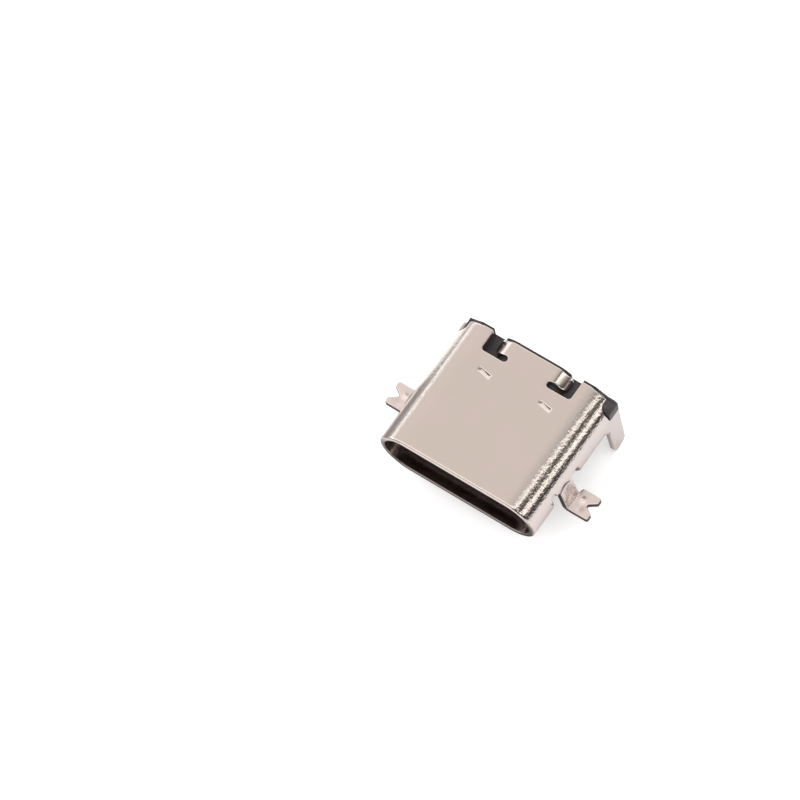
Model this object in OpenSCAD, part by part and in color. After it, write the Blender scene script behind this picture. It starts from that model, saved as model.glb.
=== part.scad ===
// Reversible sixteen-contact board receptacle: folded sheet-metal shell, moulded
// rear housing with a thin contact tongue, steel mid plate, two moulded contact
// carriers and two rows of eight insert-moulded contacts.
// Frame: X across the mouth, Y rearward (the mouth faces -Y), Z up.
// Origin: on the board plane, on the centre line, level with the side tabs.

/* [Shell] */
// Outside width of the shell across the mouth
shell_w = 8.94; // [8.8:0.02:9.1]
// Outside height of the shell
shell_h = 3.16; // [3.1:0.02:3.3]
// Sheet thickness of the shell
sheet = 0.30; // [0.25:0.01:0.32]
// Length of the shell's top, mouth to rear edge
top_len = 7.28; // [7.2:0.01:7.3]
// Length of the shell's underside, mouth to rear edge
bottom_len = 6.20; // [6.1:0.05:6.3]

/* [Side tabs and windows] */
// Distance from the mouth to the centre of the side tabs
tab_line = 2.90; // [2.8:0.05:3.0]
// Width of a side tab along the shell
tab_w = 1.30; // [1.1:0.05:1.35]
// Reach of a side tab's tips from the centre line
tab_reach = 5.90; // [5.7:0.05:6.3]
// Outward lean of the strip that carries a tab, degrees
tab_lean = 10; // [6:1:12]
// Front edge of the underside windows, from the mouth
win_front = 1.85; // [1.8:0.05:1.9]
// Rear edge of the underside windows, from the mouth
win_rear = 4.05; // [4.0:0.05:4.2]
// Inner edge of the underside windows, from the centre line
win_inner = 1.65; // [1.5:0.05:1.8]

/* [Legs] */
// Front edge of the legs, from the mouth
leg_front = 6.45; // [6.42:0.01:6.5]
// Width of a leg along the shell
leg_w = 0.95; // [0.8:0.05:0.95]
// Length of a leg below the board plane
leg_drop = 1.40; // [0.9:0.1:1.6]
// Outward lean of the legs, degrees
leg_lean = 2.5; // [0:0.5:3]

/* [Tongue and contacts] */
// Width of the contact tongue
tongue_w = 6.69; // [6.65:0.01:6.72]
// Thickness of the contact tongue
tongue_t = 0.70; // [0.68:0.01:0.72]
// Distance from the mouth to the tip of the tongue
tongue_tip = 1.00; // [0.8:0.05:1.1]
// Width of a contact
contact_w = 0.25; // [0.22:0.01:0.26]
// Thickness of a contact
contact_t = 0.15; // [0.12:0.01:0.16]
// End of the solder tails, from the mouth
tail_end = 8.10; // [8.0:0.05:8.5]

/* [Housing] */
// Rear face of the housing, from the mouth
rear_face = 7.38; // [7.36:0.01:7.5]
// Height of the housing's underside above the board plane
housing_lift = 0.03; // [0.01:0.01:0.05]
// Reach of the left shoulder from the centre line
left_reach = 4.04; // [4.0:0.02:4.4]

/* [Hidden] */
$fn = 96;
e = 0.01;
mid = shell_h / 2;
r_out = shell_h / 2;
r_mid = r_out - sheet / 2;
cx = shell_w / 2 - r_out;
leg_in = shell_w / 2 - sheet;
leg_top = mid + 0.35;
tab_f = tab_line - tab_w / 2;
tab_r = tab_line + tab_w / 2;
cut_z = mid + 1.17;
cut_front = 6.64;
slot_out = 2.56;
slot_in = 1.20;
slot_front = 6.14;
ear_front = 6.48;
plate_t = 0.15;
ear_br = 0.90;
ear_zc = shell_h - sheet / 2 - ear_br;
rim_end = 1.85;
pin_x = [-2.75, -1.25, -0.75, -0.25, 0.25, 0.75, 1.25, 2.75];
up_tail = [-3.065, -2.265, -1.25, -0.25, 0.25, 1.25, 2.265, 3.065];
low_tail = [-3.335, -2.535, -1.75, -0.75, 0.75, 1.75, 2.535, 3.335];
base_front = 5.95;

// a profile drawn in X and Z, run along Y between two distances from the mouth
module run_y(y0, y1) translate([0, y1, 0]) rotate([90, 0, 0]) linear_extrude(y1 - y0) children();
// a profile drawn in Y and Z, run along X
module run_x(x0, x1) translate([x0, 0, 0]) rotate([90, 0, 90]) linear_extrude(x1 - x0) children();
// a profile drawn in X and Y, run along Z
module run_z(z0, z1) translate([0, 0, z0]) linear_extrude(z1 - z0) children();
module frame() translate([0, -tab_line, 0]) children();
module both() { children(); mirror([1, 0, 0]) children(); }
module both_2d() { children(); mirror([1, 0]) children(); }

module stadium(w, h) {
    square([w - h, h], center = true);
    for (s = [-1, 1]) translate([s * (w - h) / 2, 0]) circle(d = h);
}
module box_2d(x0, y0, x1, y1) translate([x0, y0]) square([x1 - x0, y1 - y0]);
module capsule(x0, y0, x1, y1, r) {
    a = atan2(y1 - y0, x1 - x0);
    l = norm([x1 - x0, y1 - y0]);
    translate([x0, y0]) rotate(a) {
        circle(r = r, $fn = 48);
        translate([0, -r]) square([l, 2 * r]);
        translate([l, 0]) circle(r = r, $fn = 48);
    }
}
// part of a bend of the sheet: centre line radius r, from angle a0 to a1
module bend_2d(r, t, a0, a1) intersection() {
    difference() { circle(r = r + t / 2, $fn = 72); circle(r = r - t / 2, $fn = 72); }
    polygon([[0, 0], [3 * r * cos(a0), 3 * r * sin(a0)],
             [3 * r * cos((a0 + a1) / 2), 3 * r * sin((a0 + a1) / 2)],
             [3 * r * cos(a1), 3 * r * sin(a1)]]);
}

// strip and tab on the +X side, drawn in X and Z: it leaves the shell's side
// along the wall's own tangent and turns out flat on the board plane
tab_x0 = cx + r_mid * cos(tab_lean);
tab_z0 = mid + r_mid * sin(tab_lean);
tab_br = 0.27;
tab_z1 = sheet / 2 + tab_br * (1 - sin(tab_lean));
tab_x1 = tab_x0 + (tab_z0 - tab_z1) * tan(tab_lean);
tab_xc = tab_x1 + tab_br * cos(tab_lean);
module strip_profile() {
    nx = cos(tab_lean) * sheet / 2;
    nz = sin(tab_lean) * sheet / 2;
    polygon([[tab_x0 - nx, tab_z0 - nz], [tab_x1 - nx, tab_z1 - nz],
             [tab_x1 + nx, tab_z1 + nz], [tab_x0 + nx, tab_z0 + nz]]);
    translate([tab_xc, sheet / 2 + tab_br]) bend_2d(tab_br, sheet, 180 + tab_lean, 270);
}
module tab_outline() difference() {
    union() {
        box_2d(tab_xc - 0.02, tab_f, tab_reach - 0.16, tab_r);
        for (y = [tab_f + 0.16, tab_r - 0.16]) translate([tab_reach - 0.16, y]) circle(r = 0.16, $fn = 48);
        box_2d(tab_reach - 0.2, tab_f + 0.16, tab_reach, tab_r - 0.16);
    }
    translate([tab_reach - 0.30, tab_line]) circle(r = 0.10, $fn = 48);
    polygon([[tab_reach - 0.36, tab_line - 0.08], [tab_reach + 0.1, tab_line - 0.40],
             [tab_reach + 0.1, tab_line + 0.40], [tab_reach - 0.36, tab_line + 0.08]]);
}

// corner of the top's centre tongue, turned down into the housing
module ear_profile(gap = 0) {
    t = sheet + 2 * gap;
    box_2d(slot_in - 0.1, shell_h - sheet - gap, slot_in, shell_h + gap);
    translate([slot_in, ear_zc]) bend_2d(ear_br, t, 40, 90.5);
    translate([slot_in, ear_zc]) rotate(40) translate([ear_br - t / 2, -0.13 - gap]) square([t, 0.15 + gap]);
}

module side_cut() {
    // underside window as it runs up the side, with the relief slots beside the strip
    box_2d(win_front, -1, win_rear, mid - 0.15);
    box_2d(win_front, -1, tab_r + 0.17, tab_z0 - 0.02);
    capsule(win_front + 0.05, mid - 0.4, win_front + 0.05, mid + 0.36, 0.17);
    capsule(tab_r + 0.25, mid - 0.4, tab_r + 0.17, mid + 0.12, 0.17);
}

module leg_outline() {
    f = leg_front; r = leg_front + leg_w; b = -leg_drop;
    polygon([[f - 0.05, mid - 0.3], [f, mid - 0.45], [f, 0.3], [f + 0.06, b + 0.22], [f + 0.20, b],
             [r - 0.16, b + 0.10], [r, b + 0.28], [r, leg_top - 0.12], [r - 0.12, leg_top],
             [f - 0.05, leg_top]]);
}

module shell() color([0.83, 0.79, 0.76]) frame() {
    difference() {
        translate([0, 0, mid]) run_y(0, top_len) difference() {
            stadium(shell_w, shell_h);
            stadium(shell_w - 2 * sheet, shell_h - 2 * sheet);
        }
        // shorter underside, and the slot in front of each leg
        run_x(-6, 6) union() {
            box_2d(bottom_len, -1, 9, mid - 0.68);
            translate([bottom_len + (leg_front - bottom_len) / 2, mid - 0.68])
                circle(d = leg_front - bottom_len, $fn = 48);
            box_2d(leg_front, -1, 9, leg_top);
        }
        // side cut back over the housing's shoulders, with a round corner
        both() run_x(cx + 0.3, 6) union() {
            box_2d(cut_front, leg_top - 0.1, 9, cut_z - 0.3);
            box_2d(cut_front + 0.3, leg_top, 9, cut_z);
            translate([cut_front + 0.3, cut_z - 0.3]) circle(r = 0.3, $fn = 48);
        }
        // underside windows
        both() {
            run_z(-1, sheet + 0.4) union() {
                box_2d(win_inner + 0.15, win_front, 5, win_rear);
                box_2d(win_inner, win_front + 0.15, 5, win_rear - 0.15);
                translate([win_inner + 0.15, win_front + 0.15]) circle(r = 0.15, $fn = 48);
                translate([win_inner + 0.15, win_rear - 0.15]) circle(r = 0.15, $fn = 48);
            }
            run_x(cx + 0.3, 6) side_cut();
        }
        // slots beside the top's centre tongue
        both() run_z(shell_h - sheet - 0.1, 5) union() {
            capsule(slot_in + 0.13, (slot_front + ear_front) / 2, slot_out - 0.17,
                    (slot_front + ear_front) / 2, (ear_front - slot_front) / 2);
            box_2d(slot_out - 0.5, slot_front + 0.12, slot_out, 9);
            box_2d(slot_in, ear_front - 0.1, slot_out - 0.1, 9);
        }
        // coined marks
        both() run_z(shell_h - 0.06, 5) capsule(1.40, 5.17, 1.84, 5.17, 0.11);
        for (i = [0:3]) run_z(-1, 0.06) translate([0.1, 1.10 + 1.23 * i]) rotate(i % 2 == 0 ? 20 : -70)
            difference() { circle(r = 0.17, $fn = 48); translate([0.1, 0]) circle(r = 0.17, $fn = 48); }
    }
    both() {
        run_y(tab_f, tab_r) strip_profile();
        run_z(0, sheet) tab_outline();
        translate([leg_in + sheet / 2, 0, mid + 0.2]) rotate([0, -leg_lean, 0])
            translate([-leg_in - sheet / 2, 0, -mid - 0.2]) run_x(leg_in, shell_w / 2) leg_outline();
        run_y(ear_front, top_len) ear_profile();
    }
}

module contact_solid(x0, xt, upper, front) {
    z0 = upper ? mid + tongue_t / 2 - contact_t : mid - tongue_t / 2;
    d = upper ? 7.0 : 6.6;
    h = contact_w / 2;
    run_z(z0, z0 + contact_t) union() {
        polygon([[x0 - h + 0.04, front], [x0 + h - 0.04, front], [x0 + h, front + 0.06],
                 [x0 + h, 5.9], [xt + h, 6.5], [xt + h, d + contact_t],
                 [xt - h, d + contact_t], [xt - h, 6.5], [x0 - h, 5.9], [x0 - h, front + 0.06]]);
    }
    run_x(xt - h, xt + h) polygon([
        [d, z0 + contact_t], [d, 0.10], [7.50, 0.10], [7.68, 0], [tail_end, 0],
        [tail_end, contact_t], [7.72, contact_t], [7.54, 0.10 + contact_t],
        [d + contact_t, 0.10 + contact_t], [d + contact_t, z0 + contact_t]]);
}
function front_of(i) = (i == 0 || i == 7) ? 1.35 : ((i == 1 || i == 6) ? 1.45 : 1.75);
module upper_solid(i) contact_solid(pin_x[i], up_tail[i], true, front_of(i));
module lower_solid(i) contact_solid(pin_x[i], low_tail[i], false, front_of(i));
module all_contacts() for (i = [0:7]) { upper_solid(i); lower_solid(i); }

module plate_solid() run_z(mid - plate_t / 2, mid + plate_t / 2) difference() {
    union() {
        box_2d(-tongue_w / 2, tongue_tip + 0.3, tongue_w / 2, 5.6);
        box_2d(-2.9, 5.5, 2.9, 6.9);
    }
    both_2d() latch_notch();
}
module latch_notch() {
    box_2d(3.07, 1.85, 4, 3.20);
    translate([3.07, 2.00]) circle(r = 0.15, $fn = 48);
    translate([3.07, 3.05]) circle(r = 0.15, $fn = 48);
    box_2d(2.92, 2.00, 3.1, 3.05);
}

module upper_carrier_solid() difference() {
    run_y(6.25, 6.9) box_2d(-3.6, mid + plate_t / 2, 3.6, mid + 0.55);
    both() run_y(6, 7) box_2d(3.45, mid + 0.4, 4, mid + 1);
}
module lower_carrier_solid() difference() {
    run_y(6.25, 6.9) box_2d(-3.6, mid - 0.75, 3.6, mid - plate_t / 2);
    both() run_y(6, 7) box_2d(3.45, mid - 1, 4, mid - 0.6);
}

module housing_solid() {
    // block inside the shell, and the tongue with its thicker root
    translate([0, 0, mid]) run_y(base_front, rear_face - 0.02)
        stadium(shell_w - 2 * sheet - 0.04, shell_h - 2 * sheet - 0.04);
    translate([0, 0, mid]) run_y(5.2, base_front + e) square([tongue_w + 0.5, 1.16], center = true);
    run_x(-tongue_w / 2, tongue_w / 2) polygon([
        [tongue_tip, mid - tongue_t / 2 + 0.12], [tongue_tip + 0.2, mid - tongue_t / 2],
        [base_front + e, mid - tongue_t / 2], [base_front + e, mid + tongue_t / 2],
        [tongue_tip + 0.2, mid + tongue_t / 2], [tongue_tip, mid + tongue_t / 2 - 0.12]]);
    // part behind the shell's shorter underside
    run_y(bottom_len + 0.03, rear_face) intersection() {
        translate([0, mid]) stadium(shell_w - 2 * housing_lift, shell_h - 2 * housing_lift);
        box_2d(-leg_in + 0.02, 0, leg_in - 0.02, mid - 0.80);
    }
    run_y(leg_front + 0.02, rear_face) intersection() {
        translate([0, mid]) stadium(shell_w - 2 * housing_lift, shell_h - 2 * housing_lift);
        box_2d(-leg_in + 0.02, 0, leg_in - 0.02, leg_top - 0.02);
    }
    // shoulders behind the cut-back sides, rounded at the top
    both() intersection() {
        run_y(cut_front + 0.03, rear_face) shoulder_2d(cut_z - 0.02);
        run_x(3, 5) union() {
            box_2d(cut_front + 0.03, 0, rear_face, cut_z - 0.31);
            box_2d(cut_front + 0.32, 0, rear_face, cut_z);
            translate([cut_front + 0.32, cut_z - 0.31]) circle(r = 0.29, $fn = 48);
        }
    }
    // rim over the shell's rear edge
    run_y(top_len, rear_face) {
        both_2d() polygon([[0, mid], [leg_in - 0.1, mid], [leg_in - 0.1, mid + 1.16],
                           [3.85, mid + 1.24], [3.6, mid + 1.36], [3.25, shell_h - 0.03], [0, shell_h - 0.03]]);
        both_2d() shoulder_2d(mid + 1.2);
    }
}
module shoulder_2d(top) {
    r = 0.26;
    x = shell_w / 2 - 0.01;
    box_2d(3.3, leg_top - 0.1, leg_in - 0.02, top);
    box_2d(3.3, leg_top + 0.02, x, top - r);
    box_2d(3.3, leg_top + 0.02, x - r, top);
    translate([x - r, top - r]) circle(r = r, $fn = 48);
}

module housing() color([0.16, 0.16, 0.18]) frame() difference() {
    housing_solid();
    // channels that take the turned-down corners of the shell's top
    both() run_y(slot_front - 0.1, top_len) {
        box_2d(1.9, mid + 0.9, slot_out + 0.03, 5);
        polygon([[slot_in, shell_h - sheet / 2], [2.1, mid + 0.9], [2.1, 5], [slot_in, 5]]);
        ear_profile(0.03);
    }
    // the rim follows the turned-down corner, then drops to the channel
    both() run_y(top_len - e, 9) difference() {
        box_2d(slot_in, mid + 0.9, slot_out + 0.03, 5);
        intersection() {
            translate([slot_in, ear_zc]) circle(r = ear_br + sheet / 2 - 0.04);
            box_2d(slot_in - 0.1, 0, rim_end, 5);
        }
    }
    // left shoulder, narrower than the right one
    run_y(6.5, 9) box_2d(-6, leg_top - 0.02, -left_reach, shell_h + 1);
    // core-pin pockets in the underside
    both() run_z(-1, 0.5) capsule(2.86, 6.58, 2.86, 6.95, 0.24);
    // latch notches in the sides of the tongue
    both() run_z(mid - 2, mid + 2) latch_notch();
    plate_solid();
    upper_carrier_solid();
    lower_carrier_solid();
    all_contacts();
}
module mid_plate() color([0.72, 0.72, 0.74]) frame() plate_solid();
module upper_carrier() color([0.12, 0.12, 0.13]) frame() difference() { upper_carrier_solid(); all_contacts(); }
module lower_carrier() color([0.12, 0.12, 0.13]) frame() difference() { lower_carrier_solid(); all_contacts(); }
module upper_contact(i) color([0.84, 0.72, 0.42]) frame() upper_solid(i);
module lower_contact(i) color([0.84, 0.72, 0.42]) frame() lower_solid(i);

shell();
housing();
mid_plate();
upper_carrier();
lower_carrier();
upper_contact(0);  // upper_contact_1
upper_contact(1);  // upper_contact_2
upper_contact(2);  // upper_contact_3
upper_contact(3);  // upper_contact_4
upper_contact(4);  // upper_contact_5
upper_contact(5);  // upper_contact_6
upper_contact(6);  // upper_contact_7
upper_contact(7);  // upper_contact_8
lower_contact(0);  // lower_contact_1
lower_contact(1);  // lower_contact_2
lower_contact(2);  // lower_contact_3
lower_contact(3);  // lower_contact_4
lower_contact(4);  // lower_contact_5
lower_contact(5);  // lower_contact_6
lower_contact(6);  // lower_contact_7
lower_contact(7);  // lower_contact_8
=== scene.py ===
import math

import bpy
import numpy as np
from mathutils import Matrix, Vector
from mathutils.geometry import delaunay_2d_cdt

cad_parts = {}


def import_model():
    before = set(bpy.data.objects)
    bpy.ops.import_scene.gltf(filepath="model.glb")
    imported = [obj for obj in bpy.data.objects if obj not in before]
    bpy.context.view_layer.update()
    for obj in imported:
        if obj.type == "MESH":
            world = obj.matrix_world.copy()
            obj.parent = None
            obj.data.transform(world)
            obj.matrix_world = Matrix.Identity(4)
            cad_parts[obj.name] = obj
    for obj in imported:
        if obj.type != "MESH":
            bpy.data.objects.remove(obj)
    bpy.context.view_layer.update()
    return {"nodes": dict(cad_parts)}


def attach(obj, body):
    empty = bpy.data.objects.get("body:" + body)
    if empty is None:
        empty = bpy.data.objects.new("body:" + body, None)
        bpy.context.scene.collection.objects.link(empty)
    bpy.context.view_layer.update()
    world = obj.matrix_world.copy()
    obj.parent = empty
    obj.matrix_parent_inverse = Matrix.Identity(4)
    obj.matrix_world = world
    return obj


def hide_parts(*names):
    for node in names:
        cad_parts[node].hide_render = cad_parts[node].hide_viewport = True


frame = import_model()
nodes = frame["nodes"]
scene = bpy.context.scene
MM = 0.001

# ---------------------------------------------------------------- sizes, mm
# y is counted from the mouth here and moved to the part's frame at the end
TAB_LINE = 2.90
H = 3.16
MID = H / 2
T = 0.30
RM = MID - T / 2          # middle surface of the bends
CX = 8.94 / 2 - MID       # centre of the bends
HALF = CX + math.pi * RM + CX
S0 = CX + math.pi * RM / 2   # the side's middle line, in the developed sheet
TOP_LEN, BOTTOM_LEN = 7.28, 6.20
LEG_F, LEG_R, LEG_DROP, LEG_LEAN = 6.45, 7.40, 1.40, math.radians(2.5)
LEG_TOP = 0.35
CUT_F, CUT_Z = 6.64, 1.17
SLOT_IN, SLOT_OUT, SLOT_F, EAR_F = 1.20, 2.56, 6.14, 6.48
WIN_F, WIN_R, WIN_IN = 1.85, 4.05, 1.65
TAB_F, TAB_R, REACH = 2.25, 3.55, 5.90
LEAN = math.radians(10)
S_ROOT = S0 + RM * LEAN
TX0, TZ0 = CX + RM * math.cos(LEAN), MID + RM * math.sin(LEAN)
TBR = 0.27
TZ1 = T / 2 + TBR * (1 - math.sin(LEAN))
TX1 = TX0 + (TZ0 - TZ1) * math.tan(LEAN)
TXC = TX1 + TBR * math.cos(LEAN)
L_LEAN = (TZ0 - TZ1) / math.cos(LEAN)
L_BEND = TBR * (math.pi / 2 - LEAN)
L_STRIP = L_LEAN + L_BEND + REACH - TXC
S_EAR = HALF - SLOT_IN
L_EAR = 0.915
EAR_D = np.linspace(0, 1.2, 121)      # turned-down corner: slope and place along its length
EAR_A = np.radians(np.interp(EAR_D, [0, 0.04, 0.21, 0.60, 0.92], [0, 7, 28, 33, 62]))
EAR_X = np.concatenate([[0], np.cumsum(np.cos((EAR_A[1:] + EAR_A[:-1]) / 2))]) * 0.01
EAR_Z = np.concatenate([[0], np.cumsum(np.sin((EAR_A[1:] + EAR_A[:-1]) / 2))]) * 0.01
STRIP_R = 3.24            # rear edge of the strip, narrower than the tab it carries


def s_mid(dz):
    """Place round the sheet of a point of the side at height dz from the middle."""
    return S0 + RM * math.asin(dz / RM)


def s_out(dz):
    """The same, for a point of the outer face."""
    return S0 + RM * math.asin(dz / MID)


def arc(cx, cy, r, a0, a1, n):
    return [(cx + r * math.cos(math.radians(a0 + (a1 - a0) * i / n)),
             cy + r * math.sin(math.radians(a0 + (a1 - a0) * i / n))) for i in range(n + 1)]


def dense(path, step):
    """The path with its long parts divided, so that every bend follows it."""
    out = []
    for a, b in zip(path[:-1], path[1:]):
        n = max(1, int(math.ceil(math.hypot(b[0] - a[0], b[1] - a[1]) / step)))
        out += [(a[0] + (b[0] - a[0]) * i / n, a[1] + (b[1] - a[1]) * i / n) for i in range(n)]
    return out + [path[-1]]


def rounded(path, radii, n=4):
    """The path with the corners listed in radii rounded."""
    out = [path[0]]
    for i in range(1, len(path) - 1):
        r = radii.get(i, 0)
        p, a, b = np.array(path[i]), np.array(path[i - 1]), np.array(path[i + 1])
        u, v = a - p, b - p
        lu, lv = np.linalg.norm(u), np.linalg.norm(v)
        if r <= 0:
            out.append(tuple(p))
            continue
        u, v = u / lu, v / lv
        half = math.acos(max(-1, min(1, float(u @ v)))) / 2
        d = min(r / math.tan(half), 0.48 * lu, 0.48 * lv)
        p0, p1 = p + u * d, p + v * d
        for k in range(n + 1):
            t = k / n
            out.append(tuple((1 - t) ** 2 * p0 + 2 * t * (1 - t) * p + t * t * p1))
    return out + [path[-1]]


# ------------------------------------------------ the developed half sheet
def half_loops():
    """Outline and window of the +X half of the shell's developed sheet, as (s, y) points."""
    h = HALF
    rear = [(h, TOP_LEN), (S_EAR - L_EAR, TOP_LEN), (S_EAR - L_EAR, EAR_F), (h - 1.33, EAR_F)]
    rear = rounded(rear, {1: 0.18, 2: 0.36}, 7)
    rear += arc(h - 1.33, 6.31, 0.17, 90, -90, 10)[1:]
    rear += [(h - 2.39, SLOT_F)] + arc(h - 2.39, 6.31, 0.17, -90, -180, 5)[1:]
    tail = [(h - SLOT_OUT, 6.4), (h - SLOT_OUT, TOP_LEN), (s_out(CUT_Z), TOP_LEN), (s_out(CUT_Z), 6.94)]
    tail = rounded(tail, {1: 0.10, 2: 0.06})
    rear += tail
    for i in range(1, 9):
        a = math.radians(90 * i / 8)
        y, z = 6.94 - 0.3 * math.sin(a), 0.87 + 0.3 * math.cos(a)
        rear.append((s_out(z), y))
    leg = [(s_out(0.86), CUT_F), (S0 + LEG_TOP, CUT_F), (S0 + LEG_TOP, 7.28), (S0 + 0.23, LEG_R),
           (S0 - 2.70, LEG_R), (S0 - 2.88, 7.24), (S0 - 2.98, 6.65), (S0 - 2.76, 6.51),
           (S0 - 1.28, LEG_F), (S0 - 0.69, LEG_F)]
    leg = rounded(leg, {1: 0.05, 2: 0.06, 3: 0.08, 4: 0.10, 5: 0.12, 6: 0.08, 7: 0.06, 8: 0.05})
    rear += leg[1:]
    # round end of the slot in front of the leg
    for i in range(1, 9):
        a = math.radians(180 * i / 8)
        rear.append((S0 - 0.69 + 0.125 * math.sin(a), 6.325 + 0.125 * math.cos(a)))
    rear += [(0.0, BOTTOM_LEN)]
    front = [(0.0, 0.0), (h, 0.0)]
    # window, with the strip and tab standing in it
    w = L_LEAN + L_BEND - TXC

    def tab(x, y):
        return (S_ROOT - (w + x), y)

    win = [(WIN_IN, 2.9), (WIN_IN, WIN_F), (s_mid(-0.62), WIN_F), (s_mid(-0.42), 1.73), (s_mid(0.34), 1.73)]
    win = rounded(win, {1: 0.15, 2: 0.1, 3: 0.1})
    for i in range(1, 9):
        a = math.radians(180 * i / 8)
        win.append((s_mid(0.36) + 0.17 * math.sin(a), 1.90 - 0.17 * math.cos(a)))
    tip = [(s_mid(0.36), 2.07), (s_mid(0.2283), 2.07), (s_mid(0.2283), TAB_F), tab(5.0, TAB_F),
           tab(REACH, TAB_F), tab(REACH, 2.57), tab(5.56, 2.80), tab(5.49, 2.86), tab(5.49, 2.94),
           tab(5.56, 3.00), tab(REACH, 3.23), tab(REACH, TAB_R), tab(4.86, TAB_R),
           tab(4.66, STRIP_R + 0.02), (s_mid(0.2283), STRIP_R), (s_mid(0.2283), 3.589)]
    win += rounded(tip, {1: 0.05, 2: 0.07, 4: 0.13, 5: 0.06, 6: 0.04, 9: 0.04, 10: 0.06, 11: 0.13, 12: 0.10,
                         13: 0.10, 14: 0.10}, 5)[1:]
    for i in range(1, 8):
        a = math.radians(140 - 140 * i / 7)
        win.append((s_mid(0.12) + 0.17 * math.sin(a), 3.72 + 0.17 * math.cos(a)))
    back = [(s_mid(0.12), 3.89), (s_mid(-0.15), 3.93), (s_mid(-0.17), WIN_R), (WIN_IN, WIN_R), (WIN_IN, 2.9)]
    win += rounded(back, {1: 0.06, 2: 0.08, 3: 0.15})[1:]
    return front, rear, win


def smooth(a, b, x):
    t = np.clip((x - a) / (b - a), 0, 1)
    return t * t * (3 - 2 * t)


def place(s, y):
    """Middle surface of the folded sheet at developed points (s, y), in mm."""
    s, y = np.asarray(s, float), np.asarray(y, float)
    th = np.clip((s - S0) / RM, -math.pi / 2, math.pi / 2)
    x = np.where(s < CX, s, np.where(s > HALF - CX, HALF - s, CX + RM * np.cos(th)))
    z = MID + RM * np.sin(th)
    # leg
    v = s - S0
    lx = CX + RM - np.sin(LEG_LEAN) * (v - 0.2)
    lz = MID + 0.2 + np.cos(LEG_LEAN) * (v - 0.2)
    w = smooth(6.18, 6.42, y) * (1 - smooth(0.10, 0.60, v)) * (v < 0.7)
    x, z = x + w * (lx - x), z + w * (lz - z)
    # strip and tab
    m = (y > TAB_F - 1e-4) & (y < TAB_R + 1e-4) & (s < S_ROOT) & (s > 2.2)
    d = S_ROOT - s
    a = np.clip((d - L_LEAN) / TBR, 0, math.pi / 2 - LEAN) + math.pi + LEAN
    sx = np.where(d < L_LEAN, TX0 + d * math.sin(LEAN), TXC + TBR * np.cos(a) + np.maximum(0, d - L_LEAN - L_BEND))
    sz = np.where(d < L_LEAN, TZ0 - d * math.cos(LEAN), T / 2 + TBR + TBR * np.sin(a))
    x, z = np.where(m, sx, x), np.where(m, sz, z)
    # turned-down corner of the top's centre tongue
    m = (y > EAR_F - 1e-4) & (s < S_EAR) & (s > S_EAR - L_EAR - 0.05)
    d = S_EAR - s
    x = np.where(m, SLOT_IN + np.interp(d, EAR_D, EAR_X), x)
    z = np.where(m, H - T / 2 - np.interp(d, EAR_D, EAR_Z), z)
    return np.stack([x, y, z], -1)


def normals(s, y):
    e = 2e-4
    ds = place(s + e, y) - place(s - e, y)
    dy = place(s, y + e) - place(s, y - e)
    jump = np.linalg.norm(dy, axis=1) > 6 * e
    dy[jump] = (0, 2 * e, 0)
    n = np.cross(dy, ds)
    return n / np.linalg.norm(n, axis=1)[:, None]


def seg_distance(p, a, b):
    """Distance of points p to the nearest of the segments a-b, in blocks."""
    out = np.empty(len(p))
    ab = b - a
    l2 = (ab ** 2).sum(1)
    for i in range(0, len(p), 2000):
        q = p[i:i + 2000, None, :] - a[None]
        t = np.clip((q * ab).sum(2) / l2, 0, 1)
        out[i:i + 2000] = np.sqrt(((q - t[..., None] * ab) ** 2).sum(2)).min(1)
    return out


def inside(p, loops):
    """Even-odd test of points p against closed loops."""
    odd = np.zeros(len(p), bool)
    for loop in loops:
        a = np.array(loop)
        b = np.roll(a, -1, 0)
        for i in range(0, len(p), 4000):
            x, y = p[i:i + 4000, 0:1], p[i:i + 4000, 1:2]
            c = (a[:, 1] > y) != (b[:, 1] > y)
            with np.errstate(divide="ignore", invalid="ignore"):
                xi = a[:, 0] + (y - a[:, 1]) * (b[:, 0] - a[:, 0]) / (b[:, 1] - a[:, 1])
            odd[i:i + 4000] ^= (np.sum(c & (x < xi), 1) % 2).astype(bool)
    return odd


def steps(*spans):
    """Grid lines: spans of (start, end, step)."""
    out = []
    for a, b, d in spans:
        n = max(1, int(round((b - a) / d)))
        out += [a + (b - a) * i / n for i in range(n)]
    return out + [spans[-1][1]]


EDGE_MOUTH, EDGE_CUT = 0.11, 0.045       # rounding of the outer face's edges
EDGE_MOUTH_IN, EDGE_CUT_IN = 0.02, 0.03  # and of the inner face's


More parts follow.
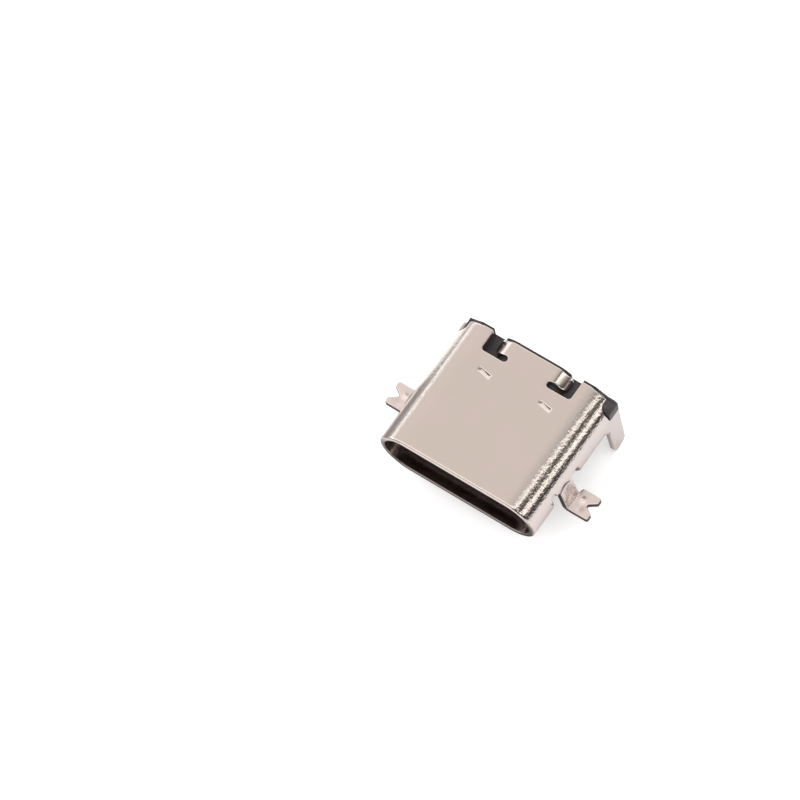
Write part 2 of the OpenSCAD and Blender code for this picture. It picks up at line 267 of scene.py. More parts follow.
def shell_mesh():
    front, rear, win = half_loops()

    def seam_ys(length):
        ring = [EDGE_MOUTH * (1 - math.cos(math.radians(a))) for a in (30, 60, 90)]
        n = int((length - 0.32) / 0.16) + 1
        return ring + [0.2 + (length - 0.32) * i / n for i in range(n + 1)] + [length - EDGE_CUT, length - EDGE_CUT / 2]

    outer = dense(front, 0.10) + [(HALF, y) for y in seam_ys(TOP_LEN)] + dense(rear, 0.085)
    outer += [(0.0, y) for y in reversed(seam_ys(BOTTOM_LEN))]
    window = dense(win, 0.085)[:-1]
    loops = []
    for loop in (outer, window):
        keep = [loop[0]]
        for p in loop[1:]:
            if math.hypot(p[0] - keep[-1][0], p[1] - keep[-1][1]) > 0.008:
                keep.append(p)
        if math.hypot(keep[0][0] - keep[-1][0], keep[0][1] - keep[-1][1]) < 0.008:
            keep.pop()
        loops.append(keep)
    verts, cons, wall = [], [], []
    for loop in loops:
        n0, n = len(verts), len(loop)
        verts += loop
        for i in range(n):
            j = (i + 1) % n
            cons.append((n0 + i, n0 + j))
            a, b = loop[i], loop[j]
            seam = (abs(a[0]) < 1e-9 and abs(b[0]) < 1e-9) or (abs(a[0] - HALF) < 1e-9 and abs(b[0] - HALF) < 1e-9)
            if not seam:
                wall.append((n0 + i, n0 + j))
    V = np.array(verts)
    wa, wb = V[[w[0] for w in wall]], V[[w[1] for w in wall]]
    mouth = (wa[:, 1] < 1e-6) & (wb[:, 1] < 1e-6)
    # rings beside every cut edge, so that it can be rounded
    extra = []
    for (a, b), is_mouth in zip(zip(wa, wb), mouth):
        r = EDGE_MOUTH if is_mouth else EDGE_CUT
        t = (b - a) / np.linalg.norm(b - a)
        nrm = np.array([-t[1], t[0]])
        for al in (30, 60, 90):
            d = r * (1 - math.cos(math.radians(al)))
            for q in (a, b):
                for side in (1, -1):
                    extra.append(q + side * nrm * d)
    extra = np.array(extra)
    on_arc = steps((CX, HALF - CX, 0.075))
    gs = steps((0, CX, 0.24))[:-1] + on_arc[:-1] + steps((HALF - CX, HALF, 0.24))
    gy = steps((0.15, 7.4, 0.15))
    grid = np.array([(s, y) for s in gs for y in gy])
    fine = [grid]

    def patch(s0, s1, y0, y1, d):
        fine.append(np.array([(s, y) for s in steps((s0, s1, d)) for y in steps((y0, y1, d))]))

    patch(HALF - 2.18, HALF - 1.26, 4.98, 5.48, 0.026)      # marks of the top
    for i in range(4):                                       # crescents of the underside
        patch(0.0, 0.32, 1.10 + 1.23 * i - 0.22, 1.10 + 1.23 * i + 0.22, 0.04)
    patch(S_EAR - L_EAR, S_EAR + 0.06, EAR_F, TOP_LEN, 0.06)  # bend of the turned-down corner
    patch(S_ROOT - 0.34, S_ROOT + 0.30, 2.20, 3.30, 0.035)    # fold at the root of the strip
    patch(S_ROOT - L_STRIP, S_ROOT - L_LEAN - L_BEND, TAB_F, TAB_R, 0.05)
    patch(S_ROOT - L_LEAN - L_BEND - 0.05, S_ROOT - L_LEAN + 0.05, TAB_F, TAB_R, 0.045)
    patch(S0 - 0.6, S0 + 0.62, 6.15, 6.62, 0.06)
    patch(s_out(CUT_Z), HALF - SLOT_OUT, TOP_LEN - 0.21, TOP_LEN - 0.05, 0.05)
    pts = np.concatenate(fine)
    pts = pts[inside(pts, loops)]
    pts = pts[seg_distance(pts, wa, wb) > 0.055]
    extra = extra[inside(extra, loops)]
    de = seg_distance(extra, wa, wb)
    want = np.array([EDGE_MOUTH if y < 0.12 else EDGE_CUT for y in extra[:, 1]])
    extra = extra[de > 0.12 * 0.9 * want]
    pts = np.concatenate([extra, pts])
    seam_ok = (pts[:, 0] > 0.012) & (pts[:, 0] < HALF - 0.012)
    pts = pts[seam_ok]
    # thin out points that lie too close together
    key, kept = {}, []
    for i, (a, b) in enumerate(pts):
        c = (int(a / 0.01), int(b / 0.01))
        near = False
        for da in (-1, 0, 1):
            for db in (-1, 0, 1):
                for j in key.get((c[0] + da, c[1] + db), ()):
                    lim = 0.004 if i < len(extra) else 0.010
                    if abs(pts[j][0] - a) < lim and abs(pts[j][1] - b) < lim:
                        near = True
        if not near:
            key.setdefault(c, []).append(i)
            kept.append(i)
    pts = pts[kept]
    allv = [Vector((float(a), float(b))) for a, b in verts] + [Vector((float(a), float(b))) for a, b in pts]
    ov, oe, of_, vi, ei, fi = delaunay_2d_cdt(allv, cons, [], 0, 1e-6, True)
    P = np.array([(v.x, v.y) for v in ov])
    F = np.array([list(f) for f in of_ if len(f) == 3])
    cen = P[F].mean(1)
    F = F[inside(cen, loops)]
    area = np.cross(P[F[:, 1]] - P[F[:, 0]], P[F[:, 2]] - P[F[:, 0]])
    F = F[np.abs(area) > 1e-10]
    area = np.cross(P[F[:, 1]] - P[F[:, 0]], P[F[:, 2]] - P[F[:, 0]])
    F[area < 0] = F[area < 0][:, ::-1]           # counter-clockwise in (s, y)
    used = np.unique(F)
    remap = -np.ones(len(P), int)
    remap[used] = np.arange(len(used))
    P, F = P[used], remap[F]
    # cut edges: edges with one triangle, less the seams
    count = {}
    for tri in F:
        for a, b in ((tri[0], tri[1]), (tri[1], tri[2]), (tri[2], tri[0])):
            count.setdefault((min(a, b), max(a, b)), []).append((a, b))
    rim = [v[0] for v in count.values() if len(v) == 1]

    def on_seam(i):
        return 0 if abs(P[i, 0]) < 1e-4 else (1 if abs(P[i, 0] - HALF) < 1e-4 else -1)

    rim = [(a, b) for a, b in rim if not (on_seam(a) >= 0 and on_seam(a) == on_seam(b))]
    ra, rb = P[[r[0] for r in rim]], P[[r[1] for r in rim]]
    is_mouth = (ra[:, 1] < 1e-4) & (rb[:, 1] < 1e-4)

    def profile(d, r):
        x = np.clip(d / r, 0, 1)
        return T / 2 - r + r * np.sqrt(np.maximum(0, 1 - (1 - x) ** 2))

    dm = seg_distance(P, ra[is_mouth], rb[is_mouth])
    dc = seg_distance(P, ra[~is_mouth], rb[~is_mouth])
    lift = np.minimum(profile(dm, EDGE_MOUTH), profile(dc, EDGE_CUT))
    lift_in = np.minimum(profile(dm, EDGE_MOUTH_IN), profile(dc, EDGE_CUT_IN))
    # darker cut edges, partly bare sheared metal and partly painted shade, and how far in a point of the inner face
    # lies
    ps, py = P.T
    w = np.full(len(P), 0.45)
    # more painted shade at the window's and the tab's edges and at the slot before the leg, none at the leg
    w[(py > 1.6) & (py < 4.1) & (ps < S0 + 0.6)] = 0.6
    w[(py > TAB_F - 0.01) & (py < TAB_R + 0.01) & (ps < S_ROOT - 0.05) & (ps > 2.2)] = 1.0
    w[(py > 6.15) & (ps < S0 + 0.6)] = 0.0
    w[(py > 6.15) & (py < 6.32) & (np.abs(ps - S0 + 0.69) < 0.35)] = 0.9
    cut_and_shade = w * np.clip(1 - dc / 0.03, 0, 1)
    # painted shade in the round end of the slot in front of the leg
    slot_end = (py > 6.17) & (py < 6.47) & (np.abs(ps - S0 + 0.62) < 0.13)
    cut_and_shade = np.maximum(cut_and_shade, 0.8 * slot_end * np.clip(1.6 - dc / 0.05, 0, 1))
    # painted shade along the mouth's edge on the lower half of the shell
    low = 1 - smooth(S0 + 0.1, S0 + 1.5, ps)
    cut_and_shade = np.maximum(cut_and_shade, 0.75 * low * np.clip(1.25 - dm / 0.044, 0, 1))
    # painted shade: a dark line in the fold at the root of the strip
    arch = S0 + 0.22 + 0.20 * np.sin(np.clip((py - 2.20) / 1.06, 0, 1) * math.pi) - 0.10 * np.clip((py - 2.75) / 0.5, 0, 1)
    fold = np.exp(-((ps - arch + 0.07) / 0.05) ** 2) * smooth(3.22, 3.0, py) * (py > 2.2) * (ps > 2.2)
    cut_and_shade = np.maximum(cut_and_shade, 0.85 * fold)
    # the tab's plate, painted lighter in the steel as a painted highlight
    tab_zone = ((py > TAB_F - 0.01) & (py < TAB_R + 0.01) & (ps < S_ROOT + 0.05) & (ps > 2.2)).astype(float)
    mid = place(P[:, 0], P[:, 1])
    nrm = normals(P[:, 0], P[:, 1])
    n = len(P)
    # mirror: points on the seams are shared by both halves
    seam = (np.abs(P[:, 0]) < 1e-4) | (np.abs(P[:, 0] - HALF) < 1e-4)
    mid[seam, 0] = 0
    nrm[seam, 0] = 0
    other = np.where(seam, np.arange(n), -1)
    free = np.where(~seam)[0]
    other[free] = n + np.arange(len(free))
    flip = np.array([-1, 1, 1])
    mid = np.concatenate([mid, mid[free] * flip])
    nrm = np.concatenate([nrm, nrm[free] * flip])
    lift = np.concatenate([lift, lift[free]])
    lift_in = np.concatenate([lift_in, lift_in[free]])
    cut_and_shade = np.concatenate([cut_and_shade, cut_and_shade[free]])
    tab_zone = np.concatenate([tab_zone, tab_zone[free]])
    # painted shade at the deep end of each chisel mark on the top
    for side in (-1, 1):
        u, v = mark_axes(mid[:, 0], mid[:, 1], side)
        spot = np.exp(-((u + 0.30) / 0.075) ** 2 - ((v - 0.01) / 0.075) ** 2)
        cut_and_shade = np.maximum(cut_and_shade, 0.85 * (mid[:, 2] > MID + 1.3) * spot)
    # painted shade in the dent of each tab
    spot = np.exp(-((np.abs(mid[:, 0]) - 5.195) / 0.09) ** 2 - ((mid[:, 1] - 3.146) / 0.09) ** 2)
    cut_and_shade = np.maximum(cut_and_shade, 0.5 * (mid[:, 2] < 0.3) * spot)
    sy = np.concatenate([P, P[free]])
    F2 = other[F][:, ::-1]
    tris = np.concatenate([F, F2])
    rim2 = [(int(other[b]), int(other[a])) for a, b in rim]
    out = mid + nrm * lift[:, None] + nrm * relief(mid, nrm, sy)[:, None]
    inn = mid - nrm * lift_in[:, None] + nrm * 0.9 * relief(mid, nrm, sy)[:, None]
    # painted shade inside the shell: the inner face darker the deeper it lies from the mouth
    inside_of = np.concatenate([np.zeros(len(mid)), np.clip(sy[:, 1] / 0.4, 0.25, 1)])
    N = len(mid)
    pos = np.concatenate([out, inn])
    faces = [(int(a), int(c), int(b)) for a, b, c in tris]       # outward
    faces += [(int(a) + N, int(b) + N, int(c) + N) for a, b, c in tris]
    faces += [(a, b, b + N, a + N) for a, b in rim + rim2]
    return pos, faces, np.concatenate([cut_and_shade, cut_and_shade]), inside_of, np.concatenate([tab_zone, tab_zone])


def mark_axes(x, y, side):
    """Coordinates along and across the chisel mark on that side of the top."""
    u, v = x - 1.72 * side, y - 5.21 - 0.03 * side
    a = math.radians(-9)
    return u * math.cos(a) + v * math.sin(a), v * math.cos(a) - u * math.sin(a)


def relief(p, n, sy):
    """Coined marks and the sheet's slight unevenness, as a height along the outward normal."""
    x, y, z = p.T
    h = np.zeros(len(p))
    top = (z > MID + 1.3) & (np.abs(n[:, 2]) > 0.9)
    bot = (z < MID - 1.3) & (np.abs(n[:, 2]) > 0.9) & (np.abs(x) < 2.9)
    # a chisel mark on each side of the top, both struck the same way round
    for sg in (-1, 1):
        u, v = mark_axes(x, y, sg)
        walls = (0.65 * (0.12 - v), (0.25 + 0.25 * smooth(-0.1, 0.25, u)) * (v + 0.14), 0.60 * (u + 0.38), 0.56 * (0.42 - u))
        h -= np.where(top, np.clip(np.minimum.reduce(walls), 0, 0.08), 0)
    # the strip is folded outward along an arched line at its root
    s, t = sy.T
    arch = S0 + 0.22 + 0.20 * np.sin(np.clip((t - 2.20) / 1.06, 0, 1) * math.pi) - 0.10 * np.clip((t - 2.75) / 0.5, 0, 1)
    near = (t > 2.2) & (t < 3.60) & (s > 2.2) & (s < S_ROOT + 0.4)
    h += np.where(near, 0.07 * smooth(0, 0.17, arch - s), 0)
    # dent and rise of the tab beside its fold
    plate = (s < S_ROOT - L_LEAN) & (s > 2.2) & (t > TAB_F - 0.01) & (t < TAB_R + 0.01)
    ax = np.abs(x)
    h -= np.where(plate, 0.030 * np.exp(-((ax - 5.195) / 0.08) ** 2 - ((t - 3.146) / 0.09) ** 2), 0) * np.sign(-n[:, 2])
    h -= np.where(plate, 0.050 * np.exp(-((ax - 5.22) / 0.26) ** 2 - ((t - 2.72) / 0.30) ** 2), 0) * np.sign(n[:, 2])
    for i in range(4):
        a = math.radians(20 if i % 2 == 0 else -70)
        dx, dy = x - 0.1, y - (1.10 + 1.23 * i)
        c1 = np.hypot(dx, dy)
        ox, oy = 0.10 * math.cos(a), 0.10 * math.sin(a)
        c2 = np.hypot(dx - ox, dy - oy)
        m = smooth(0.17, 0.13, c1) * smooth(0.155, 0.185, c2)
        h -= np.where(bot, 0.055 * m, 0)
    # the rear end of the bend is drawn down a little
    end = np.clip((y - TOP_LEN + 0.17) / 0.17, 0, 1) ** 2 * smooth(s_out(CUT_Z) - 0.1, s_out(CUT_Z) + 0.2, s)
    h -= 0.05 * end * smooth(HALF - 2.95, HALF - 3.45, s)
    # the flats are a little hollow between the bends
    flat = np.clip(1 - (np.abs(x) / 3.3) ** 2, 0, 1)
    h -= np.where(top, 0.010 * flat * smooth(0.0, 1.2, y) * smooth(7.28, 5.4, y), 0)
    return h


pos, faces, bare_edge_and_shade, inner_shade, tab_zone = shell_mesh()
pos[:, 1] -= TAB_LINE
me = bpy.data.meshes.new("shell_sheet")
me.from_pydata((pos * MM).tolist(), [], faces)
me.validate()
me.update()
for poly in me.polygons:
    poly.use_smooth = True
for name, values in (("bare_edge_and_shade", bare_edge_and_shade), ("inner_shade", inner_shade), ("tab_zone", tab_zone)):
    me.attributes.new(name, "FLOAT", "POINT").data.foreach_set("value", values.astype(np.float32))
shell = bpy.data.objects.new("shell_sheet", me)
scene.collection.objects.link(shell)
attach(shell, "root")
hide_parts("shell")


# ---------------------------------------------------------------- materials
def new_material(name):
    m = bpy.data.materials.new(name)
    m.use_nodes = True
    nt = m.node_tree
    nt.nodes.clear()
    out = nt.nodes.new("ShaderNodeOutputMaterial")
    bsdf = nt.nodes.new("ShaderNodeBsdfPrincipled")
    nt.links.new(bsdf.outputs[0], out.inputs[0])
    return m, nt, bsdf


def mm_coords(nt):
    tc = nt.nodes.new("ShaderNodeTexCoord")
    mp = nt.nodes.new("ShaderNodeVectorMath")
    mp.operation = "SCALE"
    mp.inputs["Scale"].default_value = 1000.0
    nt.links.new(tc.outputs["Object"], mp.inputs[0])
    return mp.outputs[0]


def noise(nt, vec, scale, detail=3.0, rough=0.55, stretch=None):
    if stretch:
        mp = nt.nodes.new("ShaderNodeMapping")
        mp.inputs["Scale"].default_value = stretch
        nt.links.new(vec, mp.inputs["Vector"])
        vec = mp.outputs[0]
    n = nt.nodes.new("ShaderNodeTexNoise")
    n.inputs["Scale"].default_value = scale
    n.inputs["Detail"].default_value = detail
    n.inputs["Roughness"].default_value = rough
    nt.links.new(vec, n.inputs["Vector"])
    return n.outputs[0]


def math_node(nt, op, a, b=None, c=None, clamp=False):
    m = nt.nodes.new("ShaderNodeMath")
    m.operation = op
    m.use_clamp = clamp
    for i, v in enumerate((a, b, c)):
        if v is None:
            continue
        if isinstance(v, (int, float)):
            m.inputs[i].default_value = v
        else:
            nt.links.new(v, m.inputs[i])
    return m.outputs[0]


def span(nt, v, a, b, c, d, smooth_it=True):
    m = nt.nodes.new("ShaderNodeMapRange")
    m.interpolation_type = "SMOOTHSTEP" if smooth_it else "LINEAR"
    nt.links.new(v, m.inputs["Value"])
    for k, x in zip(("From Min", "From Max", "To Min", "To Max"), (a, b, c, d)):
        m.inputs[k].default_value = x
    return m.outputs["Result"]


def mix_colour(nt, f, a, b):
    m = nt.nodes.new("ShaderNodeMix")
    m.data_type = "RGBA"
    if isinstance(f, (int, float)):
        m.inputs[0].default_value = f
    else:
        nt.links.new(f, m.inputs[0])
    for i, v in ((6, a), (7, b)):
        if isinstance(v, tuple):
            m.inputs[i].default_value = (*v, 1)
        else:
            nt.links.new(v, m.inputs[i])
    return m.outputs[2]


def steel():
    m, nt, b = new_material("shell_steel")
    v = mm_coords(nt)
    sep = nt.nodes.new("ShaderNodeSeparateXYZ")
    nt.links.new(v, sep.inputs[0])
    ax = math_node(nt, "ABSOLUTE", sep.outputs[0])
    bend = span(nt, ax, 2.75, 3.25, 0.0, 1.0)
    cloud = noise(nt, v, 0.35, 2.0)
    fine = noise(nt, v, 7.0, 3.0)
    base = mix_colour(nt, span(nt, cloud, 0.35, 0.65, 0, 1), (0.80, 0.735, 0.69), (0.815, 0.735, 0.70))
    base = mix_colour(nt, span(nt, fine, 0.60, 0.80, 0, 0.25), base, (0.62, 0.55, 0.50))
    marks = {}
    for name in ("bare_edge_and_shade", "inner_shade", "tab_zone"):
        at = nt.nodes.new("ShaderNodeAttribute")
        at.attribute_name = name
        marks[name] = at.outputs["Fac"]
    # painted shade on the inner face, deepening away from the mouth
    base = mix_colour(nt, math_node(nt, "MULTIPLY", marks["inner_shade"], 0.8), base, (0.38, 0.28, 0.255))
    # painted highlight: the tab's plate lighter than the rest of the steel
    base = mix_colour(nt, math_node(nt, "MULTIPLY", marks["tab_zone"], 1.0), base, (0.90, 0.81, 0.785))
    # dark cut edges: bare sheared metal and painted shade
    base = mix_colour(nt, marks["bare_edge_and_shade"], base, (0.10, 0.075, 0.07))
    nt.links.new(base, b.inputs["Base Color"])
    b.inputs["Metallic"].default_value = 1.0
    r1 = span(nt, noise(nt, v, 2.2, 4.0), 0.3, 0.7, 0.11, 0.16)
    r1 = math_node(nt, "MULTIPLY_ADD", marks["bare_edge_and_shade"], 0.25, r1)
    r1 = math_node(nt, "MULTIPLY_ADD", marks["tab_zone"], 0.13, r1)
    nt.links.new(r1, b.inputs["Roughness"])
    # peel of the worked metal, stronger on the bends
    peel = noise(nt, v, 9.0, 2.0, 0.55, stretch=(1.0, 0.8, 1.0))
    grain = noise(nt, v, 30.0, 2.0)
    hgt = math_node(nt, "ADD", peel, math_node(nt, "MULTIPLY", grain, 0.03))
    bump = nt.nodes.new("ShaderNodeBump")
    bump.inputs["Distance"].default_value = 0.000012
    strength = math_node(nt, "MULTIPLY_ADD", bend, 0.85, 0.03)
    strength = math_node(nt, "MULTIPLY", strength, math_node(nt, "MULTIPLY_ADD", marks["tab_zone"], -0.93, 1.0))
    nt.links.new(strength, bump.inputs["Strength"])
    nt.links.new(hgt, bump.inputs["Height"])
    nt.links.new(bump.outputs[0], b.inputs["Normal"])
    return m


def plastic(name, base, light, rough):
    m, nt, b = new_material(name)
    v = mm_coords(nt)
    cloud = noise(nt, v, 1.3, 3.0)
    col = mix_colour(nt, span(nt, cloud, 0.35, 0.68, 0, 1), base, light)
    sep = nt.nodes.new("ShaderNodeSeparateXYZ")
    nt.links.new(v, sep.inputs[0])
    # painted shade: the housing's rear rim darkened nearly to black, except near the sides
    rim = span(nt, sep.outputs[1], 4.36, 4.42, 0.0, 0.7)
    rim = math_node(nt, "MULTIPLY", rim, span(nt, math_node(nt, "ABSOLUTE", sep.outputs[0]), 3.2, 3.6, 1.0, 0.0))
    col = mix_colour(nt, rim, col, (0.006, 0.005, 0.006))
    nt.links.new(col, b.inputs["Base Color"])
    nt.links.new(span(nt, noise(nt, v, 9.0, 3.0), 0.3, 0.7, rough - 0.05, rough + 0.06), b.inputs["Roughness"])
    b.inputs["IOR"].default_value = 1.5
    bump = nt.nodes.new("ShaderNodeBump")
    bump.inputs["Distance"].default_value = 0.000006
    bump.inputs["Strength"].default_value = 0.35
    nt.links.new(noise(nt, v, 22.0, 3.0), bump.inputs["Height"])
    nt.links.new(bump.outputs[0], b.inputs["Normal"])
    return m


def metal(name, c0, c1, rough, bump_mm=0.004, scale=6.0):
    m, nt, b = new_material(name)
    v = mm_coords(nt)
    f = span(nt, noise(nt, v, scale, 3.0), 0.35, 0.68, 0, 1)
    nt.links.new(mix_colour(nt, f, c0, c1), b.inputs["Base Color"])
    b.inputs["Metallic"].default_value = 1.0
    nt.links.new(span(nt, noise(nt, v, 3.0, 3.0), 0.3, 0.7, rough - 0.05, rough + 0.07), b.inputs["Roughness"])
    bump = nt.nodes.new("ShaderNodeBump")
    bump.inputs["Distance"].default_value = bump_mm * MM
    bump.inputs["Strength"].default_value = 0.3
    nt.links.new(noise(nt, v, 8.0, 2.0, stretch=(1.0, 0.3, 1.0)), bump.inputs["Height"])
    nt.links.new(bump.outputs[0], b.inputs["Normal"])
    return m


MAT = {
    "shell_steel": steel(),
    "plate_steel": metal("plate_steel", (0.66, 0.66, 0.67), (0.76, 0.75, 0.74), 0.28),
    "black_plastic": plastic("black_plastic", (0.036, 0.031, 0.035), (0.056, 0.046, 0.055), 0.38),
    "carrier_plastic": plastic("carrier_plastic", (0.015, 0.015, 0.017), (0.022, 0.022, 0.025), 0.45),
    "contact_gold": metal("contact_gold", (0.80, 0.62, 0.30), (0.86, 0.70, 0.40), 0.22),
}
shell.data.materials.append(MAT["shell_steel"])


def dress(name, mat, bevel):
    o = nodes[name]
    o.data.materials.clear()
    o.data.materials.append(MAT[mat])
    for poly in o.data.polygons:
        poly.use_smooth = False
        poly.material_index = 0
    w = o.modifiers.new("weld", "WELD")
    w.merge_threshold = 1e-7
    b = o.modifiers.new("bevel", "BEVEL")
    b.width = bevel * MM
    b.segments = 2
    b.limit_method = "ANGLE"
    b.angle_limit = math.radians(35)
    b.miter_outer = "MITER_ARC"


dress("housing", "black_plastic", 0.022)
dress("mid_plate", "plate_steel", 0.012)
dress("upper_carrier", "carrier_plastic", 0.015)
dress("lower_carrier", "carrier_plastic", 0.015)
for i in range(1, 9):
    dress(f"upper_contact_{i}", "contact_gold", 0.010)
    dress(f"lower_contact_{i}", "contact_gold", 0.010)

# -------------------------------------------------------------------- stage
FLOOR_Z = -1.415 * MM


def floor():
    me = bpy.data.meshes.new("floor")
    r = 70 * MM
    me.from_pydata([(-r, -r, FLOOR_Z), (r, -r, FLOOR_Z), (r, r, FLOOR_Z), (-r, r, FLOOR_Z)], [], [(0, 1, 2, 3)])
    o = bpy.data.objects.new("floor", me)
    scene.collection.objects.link(o)
    m, nt, b = new_material("floor_paper")
    v = mm_coords(nt)
    n = noise(nt, v, 0.2, 3.0)
    lp = nt.nodes.new("ShaderNodeLightPath")
    seen = mix_colour(nt, n, (0.90, 0.90, 0.90), (0.91, 0.905, 0.905))
    # painted shade: the floor is darker in the metal's reflections than the camera sees it
    nt.links.new(mix_colour(nt, lp.outputs["Is Glossy Ray"], seen, (0.715, 0.69, 0.695)), b.inputs["Base Color"])
    b.inputs["Roughness"].default_value = 1.0
    b.inputs["Specular IOR Level"].default_value = 0.0
    nt.links.new(mix_colour(nt, lp.outputs["Is Camera Ray"], (0.0, 0.0, 0.0), (0.22, 0.22, 0.22)), b.inputs["Emission Color"])
    b.inputs["Emission Strength"].default_value = 1.0
    # seen from above only, so that the underside can be looked at
    geo = nt.nodes.new("ShaderNodeNewGeometry")
    clear = nt.nodes.new("ShaderNodeBsdfTransparent")
    mix = nt.nodes.new("ShaderNodeMixShader")
    nt.links.new(geo.outputs["Backfacing"], mix.inputs[0])
    nt.links.new(b.outputs[0], mix.inputs[1])
    nt.links.new(clear.outputs[0], mix.inputs[2])
    nt.links.new(mix.outputs[0], nt.nodes["Material Output"].inputs[0])
    o.data.materials.append(m)
    return o


floor()


def glow_strip(name, phi0, phi1, slope, radius, colour, y0=-20.0, y1=40.0):
    """A band of light beside the object, seen only in its reflections. It winds round the right
    bend's axis: phi is the angle above the horizon toward +X at y = 8 mm, and slope its change per mm."""
    ys = np.linspace(y0, y1, 31)
    vs, fs = [], []
    k = 5
    for y in ys:
        for j in range(k):
            p = math.radians(phi0 + (phi1 - phi0) * j / (k - 1) + slope * max(-8, min(12, y - 8.0)))
            vs.append(((CX + radius * math.cos(p)) * MM, y * MM, (MID + radius * math.sin(p)) * MM))
    for i in range(len(ys) - 1):
        for j in range(k - 1):
            a = i * k + j
            fs.append((a, a + 1, a + k + 1, a + k))
    me = bpy.data.meshes.new(name)
    me.from_pydata(vs, [], fs)
    o = bpy.data.objects.new(name, me)
    scene.collection.objects.link(o)
    m = bpy.data.materials.new(name)
    m.use_nodes = True
    nt = m.node_tree
    nt.nodes.clear()
    out = nt.nodes.new("ShaderNodeOutputMaterial")
    em = nt.nodes.new("ShaderNodeEmission")
    em.inputs["Color"].default_value = (*colour, 1)
    em.inputs["Strength"].default_value = 1.0
    nt.links.new(em.outputs[0], out.inputs[0])
    o.data.materials.append(m)
    o.visible_camera = False
    o.visible_diffuse = False
    o.visible_shadow = False
    o.visible_transmission = False
    return o


glow_strip("light_band_low", 26.0, 40.0, -1.37, 40.0, (1.45, 1.41, 1.36))
glow_strip("light_band_high", 61.0, 73.0, -1.37, 40.0, (1.45, 1.41, 1.36))
glow_strip("dark_band", 3.5, 22.0, -1.37, 41.0, (0.050, 0.038, 0.034))


def floor_card(name, corners, colour, height):
    """A flat card just over the floor, seen only in reflections: the object's own shadow and its surroundings."""
    me = bpy.data.meshes.new(name)
    me.from_pydata([(x * MM, y * MM, FLOOR_Z + height * MM) for x, y in corners], [], [tuple(range(len(corners)))])
    o = bpy.data.objects.new(name, me)
    scene.collection.objects.link(o)
    m = bpy.data.materials.new(name)
    m.use_nodes = True
    nt = m.node_tree
    nt.nodes.clear()
    out = nt.nodes.new("ShaderNodeOutputMaterial")
    em = nt.nodes.new("ShaderNodeEmission")
    em.inputs["Color"].default_value = (*colour, 1)
    nt.links.new(em.outputs[0], out.inputs[0])
    o.data.materials.append(m)
    o.visible_camera = False
    o.visible_diffuse = False
    o.visible_shadow = False
    o.visible_transmission = False
    return o


floor_card("left_dark", [(-9.0, -20), (-9.1, -0.6), (-10.3, 2.7), (-46, 15.8), (-68, 16), (-68, -20)], (0.36, 0.33, 0.32), 0.05)
floor_card("left_light", [(-5.2, 1.6), (-4.9, 12.0), (-30.0, 14.0), (-9.6, 2.2)], (1.28, 1.26, 1.24), 0.03)
floor_card("mouth_dark", [(-4.9, -4.02), (4.0, -4.02), (4.0, -1.7), (-4.9, -1.7)], (0.09, 0.08, 0.08), 0.05)


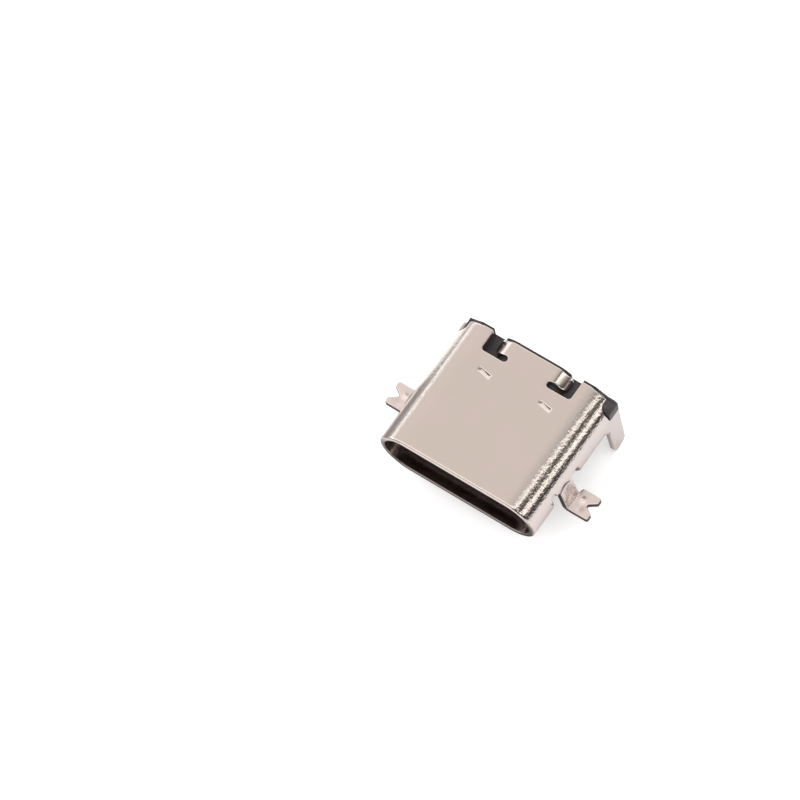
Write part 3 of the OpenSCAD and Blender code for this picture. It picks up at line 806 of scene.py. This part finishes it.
def world():
    w = bpy.data.worlds.new("studio")
    scene.world = w
    w.use_nodes = True
    nt = w.node_tree
    nt.nodes.clear()
    out = nt.nodes.new("ShaderNodeOutputWorld")
    tc = nt.nodes.new("ShaderNodeTexCoord")
    sep = nt.nodes.new("ShaderNodeSeparateXYZ")
    nt.links.new(tc.outputs["Generated"], sep.inputs[0])
    phi = math_node(nt, "ARCTAN2", sep.outputs[2], sep.outputs[0])
    t = math_node(nt, "MULTIPLY_ADD", phi, 1 / (2 * math.pi), 0.5)
    ramp = nt.nodes.new("ShaderNodeValToRGB")
    nt.links.new(t, ramp.inputs[0])
    # angle round the object's own Y axis in degrees, above the horizon toward +X first
    stops = [
        (-180, 0.45, 0), (-90, 0.75, 0), (-4, 0.80, 0), (2, 0.75, 0), (6, 0.07, 6), (56, 0.068, 8), (66, 0.16, 4),
        (76, 0.54, 2), (86, 0.60, 2), (97, 0.66, 3), (110, 0.72, 3), (130, 0.735, 3), (158, 0.72, 3),
        (163, 1.25, 0), (171, 1.30, 0), (174, 0.42, 0), (180, 0.40, 0)]
    el = ramp.color_ramp.elements
    while len(el) > 1:
        el.remove(el[-1])
    for i, (a, val, warm) in enumerate(stops):
        e = el[0] if i == 0 else el.new((a + 180) / 360)
        e.position = (a + 180) / 360
        e.color = (val * (1.0 + 0.028 * warm), val, val * (1 - 0.018 * warm), 1)
    glossy = nt.nodes.new("ShaderNodeBackground")
    # its strength changes with the direction along the object
    front_t = math_node(nt, "MULTIPLY_ADD", sep.outputs[1], 0.5, 0.5)
    front_ramp = nt.nodes.new("ShaderNodeValToRGB")
    nt.links.new(front_t, front_ramp.inputs[0])
    fe = front_ramp.color_ramp.elements
    while len(fe) > 1:
        fe.remove(fe[-1])
    for i, (a, val) in enumerate([(-1, 1.7), (-0.89, 1.7), (-0.85, 0.18), (-0.57, 0.18), (-0.50, 1.6), (0.0, 1.6), (0.12, 1.0), (1, 1.0)]):
        e = fe[0] if i == 0 else fe.new((a + 1) / 2)
        e.position = (a + 1) / 2
        e.color = (val, val, val, 1)
    front = math_node(nt, "MULTIPLY", front_ramp.outputs[0], 1.0)
    mul = nt.nodes.new("ShaderNodeVectorMath")
    mul.operation = "SCALE"
    nt.links.new(ramp.outputs[0], mul.inputs[0])
    nt.links.new(front, mul.inputs["Scale"])
    # brighter behind the object than over it
    more = span(nt, sep.outputs[1], 0.47, 0.64, 0.0, 0.36)
    more_c = nt.nodes.new("ShaderNodeCombineXYZ")
    for i in range(3):
        nt.links.new(more, more_c.inputs[i])
    add = nt.nodes.new("ShaderNodeVectorMath")
    add.operation = "ADD"
    nt.links.new(mul.outputs[0], add.inputs[0])
    nt.links.new(more_c.outputs[0], add.inputs[1])
    nt.links.new(add.outputs[0], glossy.inputs[0])
    glossy.inputs[1].default_value = 1.0
    soft = nt.nodes.new("ShaderNodeBackground")
    up = span(nt, sep.outputs[2], -0.3, 0.6, 1.05, 1.42)
    comb = nt.nodes.new("ShaderNodeCombineColor")
    for i in range(3):
        nt.links.new(up, comb.inputs[i])
    nt.links.new(comb.outputs[0], soft.inputs[0])
    lp = nt.nodes.new("ShaderNodeLightPath")
    mix = nt.nodes.new("ShaderNodeMixShader")
    nt.links.new(lp.outputs["Is Glossy Ray"], mix.inputs[0])
    nt.links.new(soft.outputs[0], mix.inputs[1])
    nt.links.new(glossy.outputs[0], mix.inputs[2])
    nt.links.new(mix.outputs[0], out.inputs[0])


world()
scene.view_settings.view_transform = "Standard"
scene.view_settings.look = "None"
scene.view_settings.exposure = 0.0
scene.view_settings.gamma = 1.0

# ------------------------------------------------------------------- camera
R1 = Vector((0.8246232, 0.5582398, -0.0914594))
R2 = Vector((0.4862800, -0.7821518, -0.3895772))
R3 = Vector((-0.2890127, 0.2767795, -0.9164414))
FOCAL = 5230.57
fwd = (R3 + R1 * ((400 - 456.478) / FOCAL) + R2 * ((400 - 487.446) / FOCAL)).normalized()
up = (-R2 - fwd * fwd.dot(-R2)).normalized()
right = fwd.cross(up)
cam_data = bpy.data.cameras.new("camera")
cam_data.sensor_width = 36.0
cam_data.lens = FOCAL * 36.0 / 800
cam_data.clip_start = 0.01
cam_data.clip_end = 5.0
cam = bpy.data.objects.new("camera", cam_data)
scene.collection.objects.link(cam)
m = Matrix((right, up, -fwd)).transposed().to_4x4()
m.translation = Vector((72.253, -72.095, 230.690)) * MM
cam.matrix_world = m
scene.camera = cam
